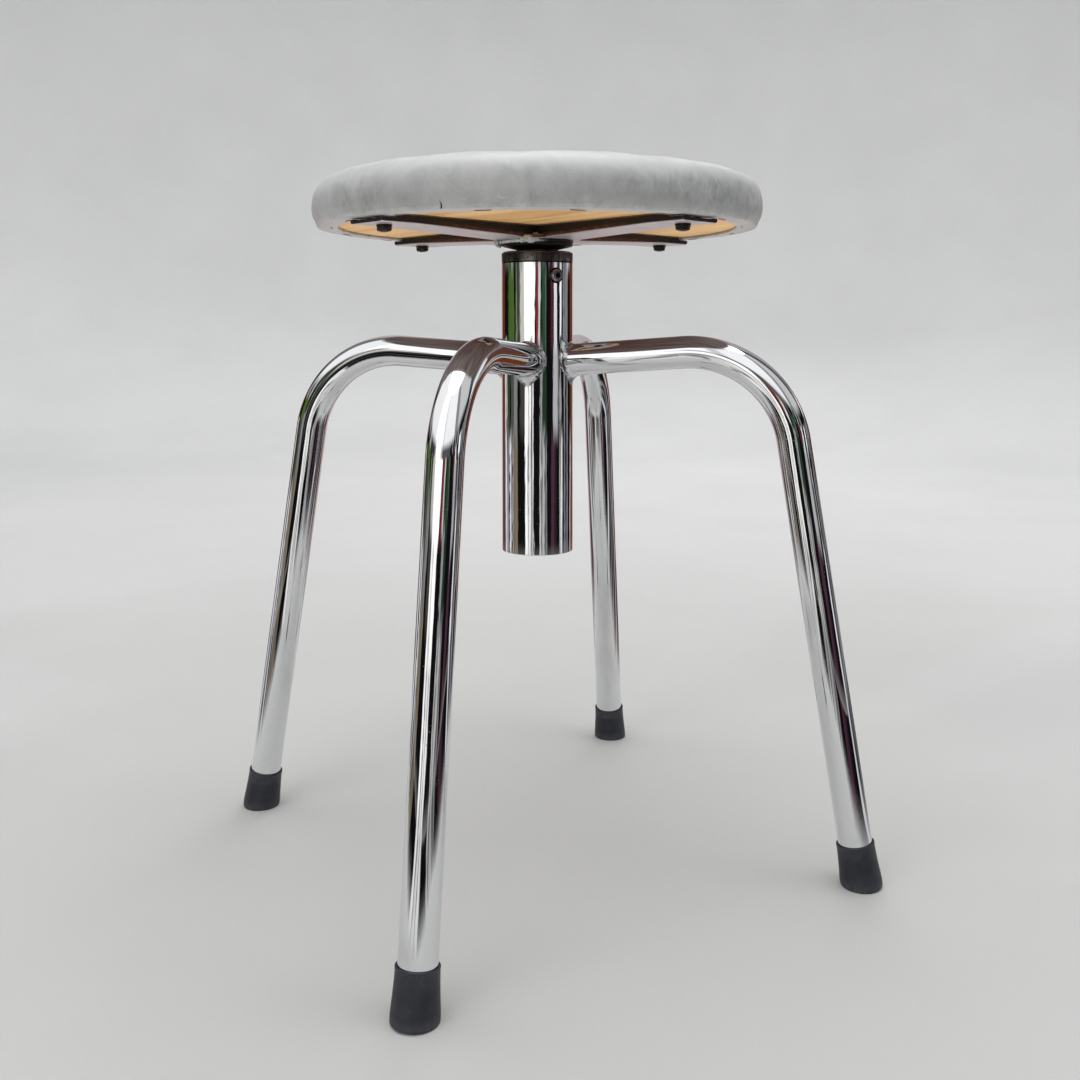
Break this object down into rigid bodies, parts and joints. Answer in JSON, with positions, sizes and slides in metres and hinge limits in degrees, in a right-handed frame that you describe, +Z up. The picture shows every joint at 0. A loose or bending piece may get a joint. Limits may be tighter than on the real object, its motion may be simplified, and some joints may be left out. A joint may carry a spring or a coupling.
{
  "type": "adjustable swivel stool",
  "caption": "Low round swivel stool: upholstered seat on a screw spindle in a chromed column tube, on splayed bent tube legs with rubber tips.",
  "frame": {"origin": "on the floor, under the column's axis, at the middle of the outline of the feet", "axes": "+Z up along the column; the front leg points along -Y and the right leg along +X; the rest pose is the seat screwed right down"},
  "size_m": [0.4826, 0.4826, 0.4846],
  "materials": {
    "chrome": "polished",
    "bracket_chrome": "satin",
    "blackened_steel": "satin",
    "black_fastener": "satin",
    "bare_steel": "satin",
    "zinc_steel": "satin",
    "nylon": "matte",
    "tip_rubber": "matte",
    "plywood": "satin",
    "foam": "matte",
    "seat_fabric": "matte"
  },
  "bodies": {
    "base": {"leg_front": "chrome", "arm_weld_front": "chrome", "foot_tip_front": "tip_rubber", "foot_washer_front": "zinc_steel", "leg_right": "chrome", "arm_weld_right": "chrome", "foot_tip_right": "tip_rubber", "foot_washer_right": "zinc_steel", "leg_back": "chrome", "arm_weld_back": "chrome", "foot_tip_back": "tip_rubber", "foot_washer_back": "zinc_steel", "leg_left": "chrome", "arm_weld_left": "chrome", "foot_tip_left": "tip_rubber", "foot_washer_left": "zinc_steel", "column_tube": "chrome", "thread_bush": "blackened_steel", "bush_screw_a": "black_fastener", "bush_screw_b": "black_fastener"},
    "guide": {"guide_ring": "nylon"},
    "seat": {"lift_spindle": "bare_steel", "spindle_end_washer": "zinc_steel", "spindle_end_screw": "black_fastener", "hub_plate": "blackened_steel", "hub_weld": "blackened_steel", "seat_bracket": "bracket_chrome", "seat_bolt_1": "black_fastener", "bolt_washer_1": "zinc_steel", "tee_nut_1": "zinc_steel", "seat_bolt_2": "black_fastener", "bolt_washer_2": "zinc_steel", "tee_nut_2": "zinc_steel", "seat_bolt_3": "black_fastener", "bolt_washer_3": "zinc_steel", "tee_nut_3": "zinc_steel", "seat_bolt_4": "black_fastener", "bolt_washer_4": "zinc_steel", "tee_nut_4": "zinc_steel", "seat_board": "plywood", "foam_pad": "foam", "seat_cover": "seat_fabric", "staple_01": "zinc_steel", "staple_02": "zinc_steel", "staple_03": "zinc_steel", "staple_04": "zinc_steel", "staple_05": "zinc_steel", "staple_06": "zinc_steel", "staple_07": "zinc_steel", "staple_08": "zinc_steel", "staple_09": "zinc_steel", "staple_10": "zinc_steel", "staple_11": "zinc_steel", "staple_12": "zinc_steel", "staple_13": "zinc_steel", "staple_14": "zinc_steel", "staple_15": "zinc_steel", "staple_16": "zinc_steel"}
  },
  "joints": [
    {"name": "seat_lift", "type": "slide", "parent": "base", "child": "guide", "axis": [0, 0, 1], "range_m": [0, 0.1321]},
    {"name": "seat_turn", "type": "hinge", "parent": "guide", "child": "seat", "pos_m": [0, 0, 0.3], "axis": [0, 0, 1], "range_deg": [0, 7920]}
  ],
  "couplings": [
    {"joint": "seat_lift", "follows": "seat_turn", "m_per_rad": 0.00095493}
  ]
}
